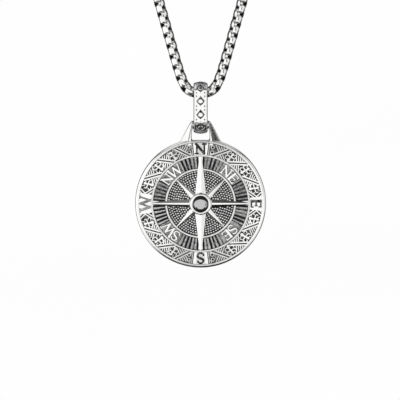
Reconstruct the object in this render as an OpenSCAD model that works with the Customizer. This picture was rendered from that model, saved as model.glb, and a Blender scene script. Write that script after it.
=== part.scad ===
// Compass pendant on a box chain.
// The pendant hangs in front (-Y) at the bottom of the chain's loop, +X is to
// the viewer's right, and the origin is where the clasp rests on the nape.

/* [Medallion] */
// Outer diameter of the round medallion
disc_d = 35; // [33.5:0.5:39]
// Thickness of the rim and the lug, front to back
rim_t = 2.2; // [2:0.1:3]
// Width of the plain rim
rim_w = 1.05; // [0.9:0.05:1.4]
// Bevel on the rim's edges
rim_bevel = 0.35; // [0.2:0.05:0.5]
// Width of the scroll band that carries the four large letters
scroll_w = 3.2; // [3:0.05:3.5]
// Width of each of the two thin raised rings
ring_w = 0.53; // [0.4:0.01:0.7]
// Width of the fluted band that carries the small letters
flute_w = 3.25; // [3:0.05:3.5]
// Metal behind the scroll band
scroll_floor = 1.45; // [1.2:0.05:1.6]
// Metal behind the fluted band and the grained field
field_floor = 1.05; // [0.8:0.05:1.2]
// How far the scroll work stays below the front of the rim
relief_drop = 0.1; // [0.05:0.05:0.3]
// Rise of the outer thin ring above the metal of the fluted band
outer_ring_rise = 1.1; // [0.8:0.05:1.2]
// Rise of the inner thin ring above the metal of the fluted band
inner_ring_rise = 0.7; // [0.5:0.05:0.9]
// Rise of the flutes above the metal of their band
flute_rise = 0.6; // [0.3:0.05:0.8]
// Angle from one flute to the next
flute_pitch = 5.1; // [4.8:0.1:6]
// Width of one flute, as an angle
flute_arc = 2.9; // [2:0.1:3.5]

/* [Letters] */
// Height of the large letters N, E, S and W
big_letter_h = 2.7; // [2.2:0.1:2.9]
// Depth of the large letters
letter_depth = 0.3; // [0.15:0.05:0.5]
// Height of the small letters
small_letter_h = 2.65; // [2.2:0.05:2.9]
// Rise of the small letters above the metal of the fluted band
small_letter_rise = 0.75; // [0.5:0.05:0.9]
// Half angle of the N and S panels
ns_half = 7.2; // [6.5:0.1:8.5]
// Half angle of the E panel
e_half = 6.9; // [6:0.1:8.5]
// Half angle of the W panel
w_half = 10.4; // [9.5:0.1:12]

/* [Scroll work] */
// Width of each of the two bars of a ribbon
ribbon_bar_w = 0.24; // [0.15:0.01:0.3]
// Distance between the two bars of a ribbon, middle to middle
ribbon_gap = 0.56; // [0.45:0.01:0.7]
// Width of the veins in the corners beside the ribbons
vein_w = 0.17; // [0.12:0.01:0.22]
// Length of a leaf lobe
lobe_l = 0.95; // [0.7:0.05:1.1]
// Width of a leaf lobe
lobe_w = 0.58; // [0.4:0.02:0.7]

/* [Compass rose] */
// Width of the N and S arms at the setting
long_arm_w = 2.9; // [2.4:0.1:3.3]
// Width of the E and W arms at the setting
side_arm_w = 2.4; // [2:0.1:2.9]
// Width of a long arm just before its point
long_tip_w = 0.68; // [0.4:0.02:0.9]
// Width of a short arm at the setting
short_arm_w = 1.75; // [1.3:0.05:2]
// Slope of the arms' facets, from the face of the medallion
facet_angle = 36; // [30:1:42]
// Height of the arms' edges at the setting, above the metal of the field
arm_edge = 0.6; // [0.4:0.05:0.7]
// Width of the narrow flat along the long arms' ridge, at the setting
ridge_flat_w = 0.52; // [0.2:0.02:0.7]
// Height of the hub under the setting
hub_h = 0.85; // [0.6:0.05:0.95]

/* [Setting and stone] */
// Outer diameter of the setting
setting_d = 6; // [5.6:0.1:6.4]
// Height of the setting above the hub
setting_h = 1.4; // [1.2:0.05:1.7]
// Diameter of the setting's stem, which passes through the rose and the plate
stem_d = 3; // [2.4:0.1:3.6]
// Diameter of the stone
stone_d = 4.1; // [3.6:0.1:4.3]
// Diameter of the stone's table
table_d = 2.7; // [2.2:0.1:2.9]
// Angle of the crown
crown_angle = 34; // [30:1:38]
// Angle of the pavilion
pavilion_angle = 41; // [39:1:43]

/* [Lug] */
// Height of the lug's bar above the edge of the medallion, to its middle
lug_rise = 3.7; // [3.5:0.1:4.5]
// Diameter of the lug's round bar
bar_d = 2.2; // [1.8:0.1:2.4]
// Width of the lug's window
window_w = 4.7; // [4.5:0.1:5.4]
// How far the window is cut into the edge of the medallion
window_cut = 0.6; // [0.3:0.05:0.8]
// Width of the lug where it meets the medallion
lug_foot_w = 10.2; // [9.6:0.2:12]
// Width of the flat border beside the window, at its foot
lug_border = 0.9; // [0.7:0.1:1.4]
// Thickness of the lug's outer edge
lug_edge_t = 0.9; // [0.7:0.1:1.4]

/* [Bail] */
// Width of the bail's band
bail_w = 3.75; // [3.2:0.05:4.1]
// Thickness of the bail's band
bail_t = 1.2; // [1:0.05:1.5]
// Inside width of the bail, front to back
bail_gap = 3.4; // [3.3:0.1:4]
// Distance between the middles of the bail's two round ends
bail_reach = 8.27; // [7.5:0.1:10]
// Number of engraved figures round the bail
bail_motifs = 9; // [7:1:10]
// Depth of the engraving
engraving = 0.15; // [0.08:0.01:0.25]

/* [Chain and clasp] */
// Diameter of the round envelope of the box chain
chain_d = 2.8; // [2.4:0.1:2.8]
// Middle diameter of the two jump rings
jump_ring_d = 3.8; // [3.6:0.1:4.4]
// Wire thickness of the jump rings
jump_wire_d = 0.8; // [0.7:0.05:0.85]
// Middle diameter of the eye at each end of the chain
eye_d = 2.6; // [2.5:0.1:2.8]
// Wire thickness of the eyes
eye_wire_d = 0.9; // [0.7:0.05:1]
// Thickness of the clasp
clasp_t = 1.4; // [1.2:0.1:1.6]
// Hole in the clasp's hook
hook_hole_d = 3.8; // [3.4:0.1:4]
// Hole in the clasp's eye
clasp_hole_d = 1.8; // [1.7:0.1:2]
// Metal round the clasp's holes
clasp_wall = 0.9; // [0.8:0.05:1]

/* [Hidden] */
$fn = 64;

// Clearances: round fits, flat seats, and where one piece hangs in another
fit_gap = 0.05;
flat_gap = 0.03;
hang_gap = 0.12;
// How far raised work is sunk into the metal that carries it
bite = 0.1;
silver = "silver";
// Tiny outset that joins the strokes of a drawing into one outline
merge = 0.005;

// The middle line of the chain, from its lowest point up round the right
// side of the neck to its end beside the clasp; the left side is its mirror.
ROUTE = [
    [0, -96, -191.95],
    [1.3, -96, -191.93],
    [2.3, -96, -191.78],
    [3.6, -95.9, -190.9],
    [4.75, -95.8, -189],
    [5.9, -95.4, -185.8],
    [7.6, -94.6, -180],
    [10.8, -92.6, -169],
    [16.8, -88, -148.5],
    [24.7, -82, -121],
    [33, -75, -92],
    [41, -67.5, -64],
    [47.5, -59, -40],
    [51.5, -48, -22.5],
    [52, -36, -12.5],
    [48, -23, -6],
    [39, -11, -2.5],
    [28, -3, -0.8],
    [18, 0.8, 0],
    [10.6, 1.4, 0],
];
// Longest step between two rings of the chain's tube, and its sides
route_step = 9;
tube_sides = 10;

disc_r = disc_d / 2;
scroll_out = disc_r - rim_w;
scroll_in = scroll_out - scroll_w;
scroll_mid = (scroll_out + scroll_in) / 2;
flute_out = scroll_in - ring_w;
flute_in = flute_out - flute_w;
flute_mid = (flute_out + flute_in) / 2;
field_r = flute_in - ring_w;
relief_top = rim_t - relief_drop;

bail_ri = bail_gap / 2;
bail_ro = bail_ri + bail_t;
bar_r = bar_d / 2;
chain_r = chain_d / 2;
// The bail hangs on the chain, the lug's bar hangs in the bail's lower end
bail_top = ROUTE[0];
bail_low = bail_top + [0, 0, -bail_reach];
bar_c = bail_low + [0, 0, -(bail_ri - bar_r - hang_gap)];
disc_c = bar_c + [0, 0, -(lug_rise + disc_r)];

setting_r = setting_d / 2;
stem_r = stem_d / 2;
stone_r = stone_d / 2;
hub_top = field_floor + hub_h;
setting_top = hub_top + setting_h;
crown_h = (stone_r - table_d / 2) * tan(crown_angle);
girdle_t = 0.1;
// The stone's crown stands this far above the setting
stone_proud = 0.15;
stone_seat = setting_top + stone_proud - crown_h - girdle_t;

// Point on the face: radius, and angle clockwise from north
function polar(r, az) = [r * sin(az), r * cos(az)];
function unit(v) = v / norm(v);

// Puts a drawing at an angle and radius on the face, its top pointing out
module at(az, r) {
    rotate(-az) translate([0, r]) children();
}

// Stands face work upright; h counts from the back of the medallion
module on_disc(h = 0) {
    translate(disc_c) rotate([90, 0, 0]) translate([0, 0, h - rim_t / 2]) children();
}

// Straight bar between two points
module bar(a, b, w) {
    half = w / 2;
    side = [a[1] - b[1], b[0] - a[0]] / norm(b - a) * half;
    polygon([a - side, b - side, b + side, a + side]);
}

// Line of bars with round joints
module stroke(points, w) {
    for (i = [0 : len(points) - 2]) bar(points[i], points[i + 1], w);
    for (i = [1 : len(points) - 2]) translate(points[i]) circle(d = w, $fn = 8);
}

// Piece of a ring between two angles
module sector(r0, r1, az0, az1, steps = 4) {
    turn = (az1 - az0) / steps;
    polygon(concat(
        [for (i = [0 : steps]) polar(r0, az0 + i * turn)],
        [for (i = [steps : -1 : 0]) polar(r1, az0 + i * turn)]
    ));
}

// Solid through a row of outlines, each seen anticlockwise from the start
module loft(sections) {
    n = len(sections[0]);
    last = len(sections) - 1;
    polyhedron(
        points = [for (s = sections) for (p = s) p],
        faces = concat(
            [[for (i = [n - 1 : -1 : 0]) i]],
            [[for (i = [0 : n - 1]) last * n + i]],
            [for (k = [0 : last - 1]) for (i = [0 : n - 1]) let (j = (i + 1) % n)
                [k * n + i, k * n + j, (k + 1) * n + j, (k + 1) * n + i]]
        ),
        convexity = 6
    );
}

// Letters stand on their own middle and are one unit high. Each has thick
// strokes, thin strokes and small feet. These are the strokes' widths in
// the large and the small letters, and the feet's share of a thin stroke.
big_thick = 0.2;
big_thin = 0.13;
small_thick = 0.19;
small_thin = 0.14;
foot = 0.8;
module letter_n(thick, thin) {
    bar([-0.38, -0.5], [-0.38, 0.5], thin);
    bar([0.38, -0.5], [0.38, 0.5], thin);
    bar([-0.4, 0.47], [0.36, -0.47], thick);
    bar([-0.52, -0.46], [-0.24, -0.46], thin * foot);
    bar([0.24, 0.46], [0.52, 0.46], thin * foot);
    bar([-0.52, 0.46], [-0.34, 0.46], thin * foot);
}

module letter_e(thick, thin) {
    bar([-0.22, -0.5], [-0.22, 0.5], thick);
    for (y = [-0.44, 0, 0.44]) bar([-0.3, y], [0.32 - 0.06 * (1 - abs(y)), y], thin);
    bar([0.3, 0.5], [0.3, 0.3], thin * foot);
    bar([0.3, -0.5], [0.3, -0.3], thin * foot);
}

module letter_s(thick, thin) {
    upper = 0.235;
    lower = 0.255;
    stroke(concat(
        [for (a = [20 : 25 : 245]) [upper * cos(a), 0.5 - thin / 2 - upper + upper * sin(a)]],
        [for (a = [65 : -25 : -160]) [lower * cos(a), thin / 2 + lower - 0.5 + lower * sin(a)]]
    ), (thick + thin) / 2);
}

module letter_w(thick, thin) {
    bar([-0.6, 0.5], [-0.3, -0.5], thick);
    bar([-0.3, -0.5], [0, 0.45], thin);
    bar([0, 0.45], [0.3, -0.5], thick);
    bar([0.3, -0.5], [0.6, 0.5], thin);
    for (x = [-0.6, 0.6]) bar([x - 0.14, 0.46], [x + 0.14, 0.46], thin * foot);
}

module letter(name, h, thick, thin) {
    scale(h) {
        if (name == "N") letter_n(thick, thin);
        if (name == "E") letter_e(thick, thin);
        if (name == "S") letter_s(thick, thin);
        if (name == "W") letter_w(thick, thin);
    }
}

// Large letters: name, angle and half angle of the panel
PANELS = [["N", 0, ns_half], ["E", 90, e_half], ["S", 180, ns_half], ["W", 270, w_half]];

// Small letters of each pair: first letter, its angle, second letter, its
// angle, both from the diagonal
PAIRS = [
    [45, "N", -6.4, "E", 7],
    [135, "S", -5.4, "E", 5.4],
    [225, "S", -7.6, "W", 5.6],
    [315, "N", -8.6, "W", 7.2],
];

module letter_panel(panel) {
    difference() {
        on_disc(scroll_floor - bite) linear_extrude(relief_top - scroll_floor + bite)
            sector(scroll_in - bite, scroll_out + bite, panel[1] - panel[2], panel[1] + panel[2]);
        on_disc(relief_top - letter_depth) linear_extrude(letter_depth + bite)
            offset(delta = merge) at(panel[1], scroll_mid)
                letter(panel[0], big_letter_h, big_thick, big_thin);
    }
}

// Ribbons of one quarter: share of the way from the N or S panel to the E or
// W panel, at the inner end and at the outer end
RIBBONS = [[0.11, 0.28], [0.39, 0.56], [0.67, 0.84]];
// Middles of the leaf figures, as the same share
FIGURES = [0.335, 0.615, 0.885];

// Ribbon of two bars, from the outer thin ring to the rim
module ribbon(az_in, az_out) {
    a = polar(scroll_in - bite, az_in);
    b = polar(scroll_out + bite, az_out);
    side = [a[1] - b[1], b[0] - a[0]] / norm(b - a) * ribbon_gap / 2;
    bar(a - side, b - side, ribbon_bar_w);
    bar(a + side, b + side, ribbon_bar_w);
}

// Veins in the two narrow corners beside a ribbon: the first one's length
// and distance from the ribbon's end, and how the next ones follow
vein_l = 0.85;
vein_less = 0.22;
vein_first = 1.15;
vein_step = 0.36;
vein_slant = 0.2;
module veins(az_in, az_out) {
    a = polar(scroll_in, az_in);
    b = polar(scroll_out, az_out);
    along = unit(b - a);
    side = [along[1], -along[0]];
    for (i = [0 : 2]) {
        l = vein_l - vein_less * i;
        start = ribbon_gap / 2 + ribbon_bar_w;
        inset = vein_first - vein_step * i;
        p = b - along * inset - side * start;
        q = a + along * inset + side * start;
        bar(p, p - side * l + along * vein_slant, vein_w);
        bar(q, q + side * l - along * vein_slant, vein_w);
    }
}

// Lobe with a round head and a narrow root, pointing out from the middle
module lobe() {
    translate([0, lobe_l - lobe_w / 2]) circle(d = lobe_w, $fn = 12);
    polygon([[-lobe_w * 0.2, 0.1], [lobe_w * 0.2, 0.1],
             [lobe_w * 0.46, lobe_l - lobe_w * 0.7], [-lobe_w * 0.46, lobe_l - lobe_w * 0.7]]);
}

// Figure of two lobes and two pairs of leaves on a cross stem
lobe_start = 0.25;
stem_half = 0.75;
LEAVES = [[[0.45, 0.1], [1.15, 0.42]], [[0.45, -0.1], [1, -0.5]]];
module figure() {
    for (turn = [0, 1]) mirror([0, turn]) translate([0, lobe_start]) lobe();
    bar([-stem_half, 0], [stem_half, 0], vein_w);
    for (turn = [0, 1]) mirror([turn, 0])
        for (leaf = LEAVES) bar(leaf[0], leaf[1], vein_w * 1.2);
}

// Folded ribbon that points at the E or W panel; its angles from the panel
fold_tip = 1.2;
fold_end = 5.2;
fold_gap = 2.3;
module folded_ribbon(az_side) {
    tip = polar(scroll_mid, az_side - fold_tip);
    low = polar(scroll_in - bite, az_side - fold_end);
    high = polar(scroll_out + bite, az_side - fold_end);
    inner_tip = polar(scroll_mid, az_side - fold_tip - fold_gap);
    for (s = [[0, 0], inner_tip - tip]) {
        bar(low + s, tip + s, ribbon_bar_w);
        bar(tip + s, high + s, ribbon_bar_w);
        translate(tip + s) circle(d = ribbon_bar_w, $fn = 8);
    }
}

// Scroll in the corner beside the N or S panel, as two curls that meet
CURLS = [
    [[-0.1, -1.5], [-0.2, -0.8], [0.25, -0.35], [0.05, 0.1]],
    [[-0.1, 1.5], [-0.25, 0.9], [0.2, 0.5], [0.05, 0.1]],
];
module corner_scroll(az) {
    at(az, scroll_mid) for (curl = CURLS) stroke(curl, vein_w * 1.3);
}

// Scroll work of the quarter between north and east
east = 90;
module quarter(side_half) {
    span = east - ns_half - side_half;
    corner_scroll(ns_half + 0.03 * span);
    for (r = RIBBONS) {
        ribbon(ns_half + r[0] * span, ns_half + r[1] * span);
        veins(ns_half + r[0] * span, ns_half + r[1] * span);
    }
    for (f = FIGURES) at(ns_half + f * span, scroll_mid) figure();
    folded_ribbon(east - side_half);
}

module scroll_work() {
    on_disc(scroll_floor - bite) linear_extrude(relief_top - scroll_floor + bite)
        offset(delta = merge)
            for (q = [[0, 0, e_half], [0, 1, e_half], [1, 1, w_half], [1, 0, w_half]])
                mirror([q[0], 0]) mirror([0, q[1]]) quarter(q[2]);
}

// Flutes fill what the long arms and the pairs of letters leave free
first_flute = 6.3;
// Half of a wide small letter, as a share of its height
letter_half_w = 0.6;
module flutes() {
    pair_half = max([for (p = PAIRS) max(abs(p[2]), abs(p[4]))])
        + atan(letter_half_w * small_letter_h / flute_mid);
    count = floor((PAIRS[0][0] - pair_half - first_flute) / flute_pitch);
    on_disc(field_floor - bite) linear_extrude(flute_rise + bite)
        offset(delta = merge)
            for (arm = [0 : 90 : 270]) for (s = [-1, 1]) for (i = [0 : count])
                sector(flute_in - bite, flute_out + bite,
                       arm + s * (first_flute + i * flute_pitch) - flute_arc / 2,
                       arm + s * (first_flute + i * flute_pitch) + flute_arc / 2, 1);
}

module small_letters() {
    on_disc(field_floor - bite) linear_extrude(small_letter_rise + bite)
        offset(delta = merge)
            for (p = PAIRS) {
                at(p[0] + p[2], flute_mid) letter(p[1], small_letter_h, small_thick, small_thin);
                at(p[0] + p[4], flute_mid) letter(p[3], small_letter_h, small_thick, small_thin);
            }
}

// Turned body of the medallion: rim, scroll band, fluted band and field
module turned_body() {
    on_disc() rotate_extrude($fn = 180) polygon([
        [0, 0],
        [disc_r - rim_bevel, 0],
        [disc_r, rim_bevel],
        [disc_r, rim_t - rim_bevel],
        [disc_r - rim_bevel, rim_t],
        [scroll_out, rim_t],
        [scroll_out, scroll_floor],
        [scroll_in, scroll_floor],
        [scroll_in, field_floor + outer_ring_rise],
        [flute_out, field_floor + outer_ring_rise],
        [flute_out, field_floor],
        [flute_in, field_floor],
        [flute_in, field_floor + inner_ring_rise],
        [field_r, field_floor + inner_ring_rise],
        [field_r, field_floor],
        [0, field_floor],
    ]);
}

// Side of the lug: a flat border by the window and a slope to a thin edge.
// These are the length of the bar inside the side, how far the side's foot
// reaches into the rim, and its outer corners at the foot and at the top.
bar_end = 0.4;
foot_sink = 0.15;
foot_corner = [0.3, 0.1];
top_corner = [0.55, 0.5];
foot_r = scroll_out + foot_sink;
function foot_z(x) = sqrt(foot_r * foot_r - x * x);
module lug_corner(x, z, t) {
    point = 0.02;
    translate([x, 0, z]) cube([point, t, point], center = true);
}
module lug_leg() {
    win = window_w / 2;
    bar_z = disc_r + lug_rise;
    foot_x = lug_foot_w / 2;
    hull() {
        lug_corner(win, foot_z(win), rim_t);
        lug_corner(win + lug_border, foot_z(win + lug_border), rim_t);
        lug_corner(foot_x, foot_z(foot_x), lug_edge_t);
        lug_corner(foot_x - foot_corner[0], disc_r - foot_corner[1], lug_edge_t);
        lug_corner(win + top_corner[0], bar_z + top_corner[1], lug_edge_t);
        translate([win, 0, bar_z]) rotate([0, 90, 0]) cylinder(r = bar_r, h = bar_end, $fn = 32);
    }
}

// Lug with its round bar; the bail's lower end closes round the bar
module lug() {
    translate(disc_c) {
        lug_leg();
        mirror([1, 0, 0]) lug_leg();
    }
    translate(bar_c) rotate([0, 90, 0])
        cylinder(r = bar_r, h = window_w + bar_end, center = true);
}

// Long arms: angle, and width at the setting
LONG_ARMS = [[0, long_arm_w], [90, side_arm_w], [180, long_arm_w], [270, side_arm_w]];

// Outline of the rose, with room round it
module rose_outline(room) {
    offset(delta = room) {
        circle(r = hub_r);
        for (arm = LONG_ARMS) rotate(-arm[0]) polygon([
            [-arm[1] / 2, arm_root_r], [-long_tip_w / 2, long_neck_r], [0, long_tip_r],
            [long_tip_w / 2, long_neck_r], [arm[1] / 2, arm_root_r]]);
        for (az = [45 : 90 : 315]) rotate(-az) polygon([
            [-short_arm_w / 2, arm_root_r], [0, short_tip_r], [short_arm_w / 2, arm_root_r]]);
    }
}

// One cast piece: disc, rings, scroll work, flutes, letters and lug
module medallion() {
    win_low = disc_r - window_cut;
    win_top = disc_r + lug_rise - bar_r - 0.3;
    color(silver) difference() {
        union() {
            turned_body();
            scroll_work();
            for (p = PANELS) letter_panel(p);
            flutes();
            small_letters();
            lug();
        }
        on_disc(field_floor) linear_extrude(rim_t) rose_outline(fit_gap);
        on_disc(-bite) cylinder(r = stem_r + fit_gap, h = rim_t);
        translate(disc_c + [-window_w / 2, -rim_t, win_low])
            cube([window_w, 2 * rim_t, win_top - win_low]);
    }
}

// Radius of the hub, and the ends of the arms: they start inside the hub, the
// long ones cross the outer thin ring and the short ones the inner one
hub_r = setting_r - 0.1;
arm_root_r = hub_r - 0.4;
long_tip_r = scroll_in + 0.1;
long_neck_r = flute_out - 0.3;
short_tip_r = flute_in - 0.02;

// Outline across an arm: foot, edges, two facets and a narrow flat ridge
function arm_section(r, half, flat_half, edge) =
    let (ridge = edge + (half - flat_half) * tan(facet_angle)) [
        [-half, r, 0], [half, r, 0], [half, r, edge],
        [flat_half, r, ridge], [-flat_half, r, ridge], [-half, r, edge],
    ];

// Half width of the arms' points, and how far the long arms' edges rise so
// that their points clear the outer thin ring
point_half = 0.04;
neck_lift = 0.25;
module long_arm(w) {
    loft([
        arm_section(arm_root_r, w / 2, ridge_flat_w / 2, arm_edge),
        arm_section(long_neck_r, long_tip_w / 2, ridge_flat_w / 4, arm_edge + neck_lift),
        arm_section(long_tip_r, point_half, point_half / 4, arm_edge + neck_lift),
    ]);
}

module short_arm() {
    loft([
        arm_section(arm_root_r, short_arm_w / 2, ridge_flat_w / 3, arm_edge),
        arm_section(short_tip_r, point_half, point_half / 4, arm_edge),
    ]);
}

// Eight-pointed rose with the hub that the setting sits on
module compass_rose() {
    color(silver) difference() {
        on_disc(field_floor + flat_gap) {
            for (arm = LONG_ARMS) rotate(-arm[0]) long_arm(arm[1]);
            for (az = [45 : 90 : 315]) rotate(-az) short_arm();
            cylinder(r = hub_r, h = hub_h - flat_gap);
        }
        on_disc(hub_top) cylinder(r = setting_r + fit_gap, h = 2 * rim_t);
        on_disc() cylinder(r = stem_r + fit_gap, h = hub_top + bite);
    }
}

// Rounding of the bezel's top: points inward and down from its outer corner
BEZEL = [[0, 0.45], [0.12, 0.15], [0.38, 0]];

// Round bezel whose stem holds the rose and itself on the plate
module stone_setting() {
    room = stone_r + fit_gap;
    seat = hub_top + flat_gap;
    cone_h = (room - 0.1) * tan(pavilion_angle);
    color(silver) on_disc() difference() {
        rotate_extrude() polygon(concat(
            [[0, 0], [stem_r, 0], [stem_r, seat], [setting_r, seat]],
            [for (p = BEZEL) [setting_r - p[0], setting_top - p[1]]],
            [[0, setting_top]]
        ));
        translate([0, 0, stone_seat]) cylinder(r = room, h = setting_h);
        translate([0, 0, stone_seat - cone_h]) cylinder(r1 = 0.1, r2 = room, h = cone_h);
    }
}

// Round brilliant: table, star and kite facets, girdle and pavilion
module stone() {
    thin = 0.01;
    star_r = stone_r * 0.8;
    star_h = crown_h * (stone_r - star_r * cos(22.5)) / (stone_r - table_d / 2);
    pavilion_h = stone_r * tan(pavilion_angle);
    color("black") on_disc(stone_seat + fit_gap) rotate(22.5) hull() {
        translate([0, 0, girdle_t + crown_h - thin]) cylinder(r = table_d / 2, h = thin, $fn = 8);
        translate([0, 0, girdle_t + star_h - thin]) rotate(22.5)
            cylinder(r = star_r, h = thin, $fn = 8);
        cylinder(r = stone_r, h = girdle_t, $fn = 16);
        translate([0, 0, -pavilion_h]) cylinder(r = thin, h = thin, $fn = 8);
    }
}

// Long round outline of the bail, seen from its side
module bail_outline(r) {
    circle(r = r);
    translate([0, -bail_reach]) circle(r = r);
    translate([-r, -bail_reach]) square([2 * r, bail_reach]);
}

// Stretches a side view across the bail's width
module across(w) {
    rotate([90, 0, 90]) translate([0, 0, -w / 2]) linear_extrude(w) children();
}

// Engraved figure: a pointed ring round a boss, with two small dots at each
// side below it
ring_half_w = 1.12;
ring_half_l = 1.3;
ring_r = 0.92;
boss_r = 0.52;
DOT = [1.08, 0.52, 0.2];
module motif(pitch) {
    difference() {
        union() {
            polygon([[0, ring_half_l], [ring_half_w, 0], [0, -ring_half_l], [-ring_half_w, 0]]);
            circle(r = ring_r, $fn = 24);
        }
        circle(r = boss_r, $fn = 24);
    }
    for (x = [-1, 1]) for (y = [-1, 1])
        translate([x * DOT[0], y * DOT[1] - pitch / 2]) circle(r = DOT[2], $fn = 6);
}

// Turn and height of the figure that lies s along the outline from the
// middle of the front
function motif_place(s) =
    let (half = bail_reach / 2, end = half + PI * bail_ro, t = abs(s), up = s >= 0)
    t <= half ? [0, s - half]
    : t <= end ? [(up ? 1 : -1) * (t - half) / bail_ro * 180 / PI, up ? 0 : -bail_reach]
    : [180, up ? end - t : t - end - bail_reach];

module engraved_figures() {
    pitch = (2 * bail_reach + 2 * PI * bail_ro) / bail_motifs;
    for (i = [0 : bail_motifs - 1]) {
        place = motif_place((i + 0.5 - floor(bail_motifs / 2)) * pitch);
        translate([0, 0, place[1]]) rotate([90 - place[0], 0, 0])
            translate([0, 0, bail_ro - 3 * engraving]) linear_extrude(4 * engraving)
                offset(delta = merge) motif(pitch);
    }
}

// Loop that hangs on the chain and carries the lug
module bail() {
    color(silver) translate(bail_top) difference() {
        across(bail_w) bail_outline(bail_ro);
        across(bail_w + 1) bail_outline(bail_ri);
        difference() {
            engraved_figures();
            across(bail_w + 1) bail_outline(bail_ro - engraving);
        }
    }
}

// Smooth curve through the route's points
function curve(a, b, c, d, t) =
    (2 * b + (c - a) * t + (2 * a - 5 * b + 4 * c - d) * t * t
     + (3 * b - a - 3 * c + d) * t * t * t) / 2;
function mirrored(p) = [-p[0], p[1], p[2]];
function whole_route(r) =
    concat([for (i = [len(r) - 1 : -1 : 1]) mirrored(r[i])], r);
function smooth(p) = let (n = len(p)) concat(
    [for (i = [0 : n - 2])
        let (steps = ceil(norm(p[i + 1] - p[i]) / route_step),
             before = i == 0 ? 2 * p[0] - p[1] : p[i - 1],
             after = i == n - 2 ? 2 * p[n - 1] - p[n - 2] : p[i + 2])
        for (k = [0 : steps - 1]) curve(before, p[i], p[i + 1], after, k / steps)],
    [p[n - 1]]
);
// Ring of points round the route at point i
function tube_ring(p, i, r) =
    let (n = len(p),
         along = unit(p[min(i + 1, n - 1)] - p[max(i - 1, 0)]),
         side = unit(cross(along, [0, 1, 0])),
         front = cross(along, side))
    [for (k = [0 : tube_sides - 1]) let (a = (k + 0.5) * 360 / tube_sides)
        p[i] + r * (side * cos(a) - front * sin(a))];

// Places at the back of the neck, from the chain's end towards the clasp
nape = [0, 1.4, 0];
eye_r = eye_d / 2;
eye_wire_r = eye_wire_d / 2;
jump_r = jump_ring_d / 2;
jump_wire_r = jump_wire_d / 2;
chain_end = ROUTE[len(ROUTE) - 1][0];
// The eye's depth in the chain's end, and the play of a jump ring's wire
eye_bite = 0.35;
wire_play = 0.3;
eye_x = chain_end - eye_r - eye_wire_r + eye_bite;
jump_x = eye_x - eye_r + eye_wire_r + jump_wire_r + wire_play - jump_r;
// The jump rings pull at the outer sides of the clasp's holes
pull_x = jump_x - jump_r + jump_wire_r + wire_play;
clasp_eye_x = pull_x - clasp_hole_d / 2;
hook_x = -pull_x + hook_hole_d / 2;

// Lying ring
module torus(r, wire_r) {
    rotate_extrude() translate([r, 0]) circle(r = wire_r, $fn = 32);
}

// The chain as one round tube, with an eye at each end
module chain() {
    path = smooth(whole_route(ROUTE));
    color(silver) {
        loft([for (i = [0 : len(path) - 1]) tube_ring(path, i, chain_r)]);
        for (s = [-1, 1]) translate(nape + [s * eye_x, 0, 0]) rotate([90, 0, 0])
            torus(eye_r, eye_wire_r);
    }
}

module jump_ring(x) {
    color(silver) translate(nape + [x, 0, 0]) torus(jump_r, jump_wire_r);
}
module clasp_ring() { jump_ring(jump_x); }
module hook_ring() { jump_ring(-jump_x); }

// Plain closed clasp that lies flat on the nape: an eye at the right, a wide
// hook at the left
module clasp() {
    eye_out = clasp_hole_d / 2 + clasp_wall;
    hook_out = hook_hole_d / 2 + clasp_wall;
    color(silver) translate(nape) rotate([90, 0, 0]) translate([0, 0, -clasp_t / 2])
        difference() {
            union() {
                translate([clasp_eye_x, 0, 0]) cylinder(r = eye_out, h = clasp_t);
                translate([hook_x, 0, 0]) cylinder(r = hook_out, h = clasp_t);
                linear_extrude(clasp_t) polygon([
                    [clasp_eye_x, -eye_out * 0.8], [clasp_eye_x, eye_out * 0.8],
                    [hook_x, hook_out * 0.75], [hook_x, -hook_out * 0.75]]);
            }
            translate([clasp_eye_x, 0, -1]) cylinder(d = clasp_hole_d, h = clasp_t + 2);
            translate([hook_x, 0, -1]) cylinder(d = hook_hole_d, h = clasp_t + 2);
        }
}

medallion();
compass_rose();
stone_setting();
stone();
bail();
chain();
clasp();
clasp_ring();
hook_ring();
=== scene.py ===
"""Looks of the compass pendant on its box chain. Lengths are in millimetres until a mesh is made."""

import math

import bpy
import numpy as np
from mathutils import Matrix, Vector


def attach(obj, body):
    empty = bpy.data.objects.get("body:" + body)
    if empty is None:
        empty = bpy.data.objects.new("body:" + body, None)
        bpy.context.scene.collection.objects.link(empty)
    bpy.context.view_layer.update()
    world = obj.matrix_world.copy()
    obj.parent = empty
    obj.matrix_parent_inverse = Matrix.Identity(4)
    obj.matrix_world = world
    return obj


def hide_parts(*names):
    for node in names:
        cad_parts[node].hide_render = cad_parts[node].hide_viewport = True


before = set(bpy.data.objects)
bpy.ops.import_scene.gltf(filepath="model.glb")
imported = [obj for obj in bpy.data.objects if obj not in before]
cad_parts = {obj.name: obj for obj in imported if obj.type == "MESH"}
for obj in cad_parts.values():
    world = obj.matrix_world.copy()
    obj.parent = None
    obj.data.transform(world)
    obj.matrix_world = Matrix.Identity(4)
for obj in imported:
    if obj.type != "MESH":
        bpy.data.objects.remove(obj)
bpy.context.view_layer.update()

MM = 0.001

# Places and sizes of the part, as its source has them. Radii on the medallion
# are measured from its axis and heights from its back
DISC = (0.0, -96.0, -221.90)
DISC_R = 17.5
RIM_T = 2.2
SCROLL_OUT = 16.45
SCROLL_IN = 13.25
SCROLL_MID = (SCROLL_OUT + SCROLL_IN) / 2
FLUTE_OUT = 12.72
FLUTE_IN = 9.47
FLUTE_MID = (FLUTE_OUT + FLUTE_IN) / 2
FIELD_R = 8.94
SCROLL_FLOOR = 1.45
FIELD_FLOOR = 1.05
RELIEF_TOP = 2.1
OUTER_RING_TOP = 2.15
INNER_RING_TOP = 1.75
FLUTE_TOP = 1.65
SMALL_LETTER_TOP = 1.8
LETTER_DEPTH = 0.3
# Half widths of the letter panels, in degrees
NS_HALF = 7.2
E_HALF = 6.9
W_HALF = 10.4
# How far a piece reaches under the ground that carries it
BITE = 0.1
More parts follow.
